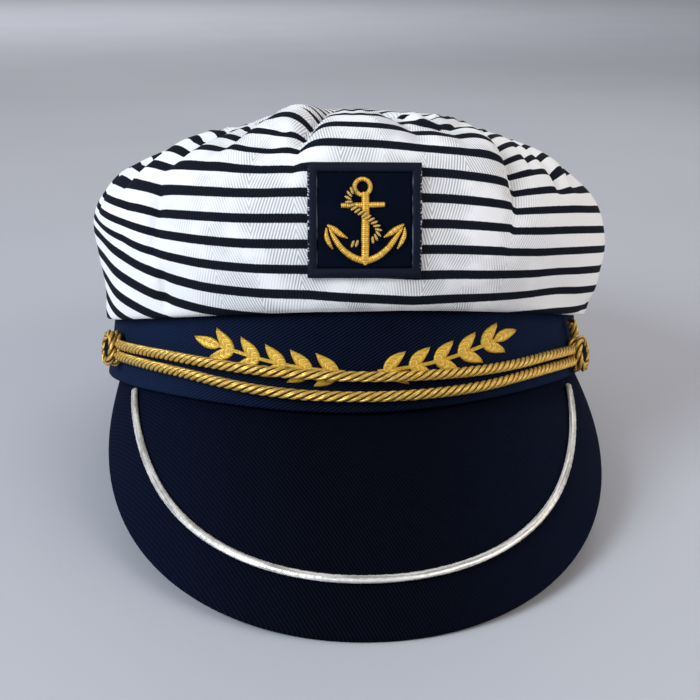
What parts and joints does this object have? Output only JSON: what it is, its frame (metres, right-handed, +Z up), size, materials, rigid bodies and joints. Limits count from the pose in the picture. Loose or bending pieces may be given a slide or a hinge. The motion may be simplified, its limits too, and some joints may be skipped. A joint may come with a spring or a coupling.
{
  "type": "captain hat",
  "caption": "Captain hat with a soft striped crown, navy band and drooping peak, gold cords, silver piping and an embroidered anchor badge.",
  "frame": {"origin": "bottom centre of the bounding box, on the surface that the hat rests on", "axes": "+X to the right of someone facing the hat's front, -Y the way the peak points, +Z up"},
  "size_m": [0.1936, 0.2788, 0.1318],
  "materials": {
    "striped_cloth": "matt white twill with dark navy stripes",
    "band_cloth": "matt dark navy twill",
    "peak_cloth": "matt near-black navy twill over a stiff board",
    "silver_piping": "soft metallic silver braid",
    "badge_cloth": "matt near-black navy felt with a stitched hem",
    "gold_satin": "shiny gold satin stitch",
    "gold_cord": "shiny twisted gold cord"
  },
  "bodies": {
    "root": {"crown_side": "striped_cloth", "crown_top": "striped_cloth", "band": "band_cloth", "peak": "peak_cloth", "peak_piping": "silver_piping", "badge_field": "badge_cloth", "badge_border": "badge_cloth", "anchor": "gold_satin", "anchor_rope": "gold_satin", "laurel_left": "gold_satin", "laurel_right": "gold_satin", "upper_cord": "gold_cord", "lower_cord": "gold_cord", "tail_cord": "gold_cord", "button_left": "band_cloth", "button_right": "band_cloth", "button_coil_left": "gold_cord", "button_coil_right": "gold_cord"}
  },
  "joints": []
}
